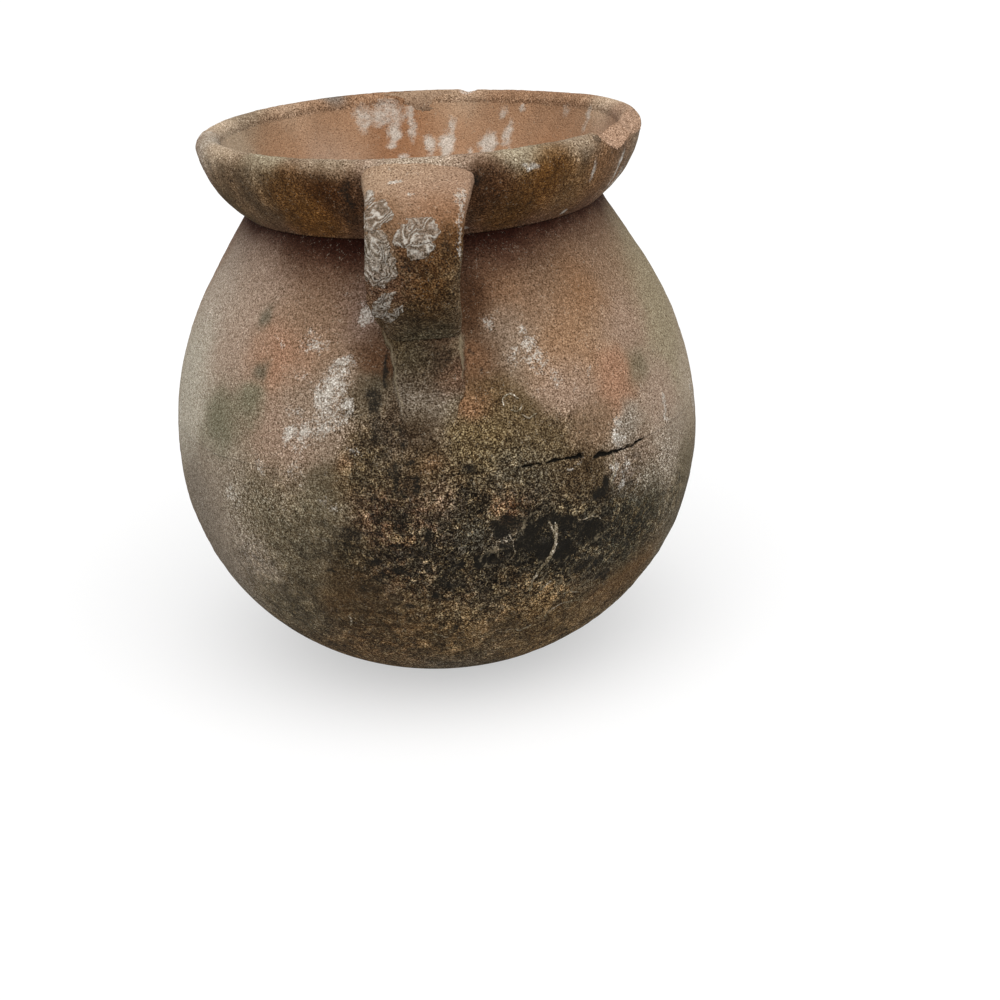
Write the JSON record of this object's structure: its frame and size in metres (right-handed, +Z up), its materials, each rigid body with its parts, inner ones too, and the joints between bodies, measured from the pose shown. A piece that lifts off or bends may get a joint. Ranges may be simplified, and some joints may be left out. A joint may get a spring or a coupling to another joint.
{
  "type": "amphora",
  "caption": "Round-bellied fired clay amphora with a flared collar, a wide open mouth and strap handles from lip to shoulder.",
  "frame": {"origin": "centre of the flat resting face under the bowl", "axes": "+Z up along the turning axis of the pot; the strap handles stand on the -Y (front) and +Y (back) sides"},
  "size_m": [0.1884, 0.1982, 0.1956],
  "materials": {
    "bowl_clay": "matt fired clay, sooted and weathered, with lime bloom",
    "shoulder_clay": "matt fired clay, pinkish and grey-beige, with lime bloom",
    "collar_clay": "matt tan and orange-brown fired clay",
    "handle_clay": "matt tan fired clay with lime crust and a sooted side",
    "pad_clay": "matt sooted clay, smeared by hand"
  },
  "bodies": {
    "root": {"base_bowl": "bowl_clay", "shoulder_wall": "shoulder_clay", "flared_rim": "collar_clay", "front_handle": "handle_clay", "back_handle": "handle_clay", "front_handle_pad": "pad_clay", "back_handle_pad": "pad_clay"}
  },
  "joints": []
}
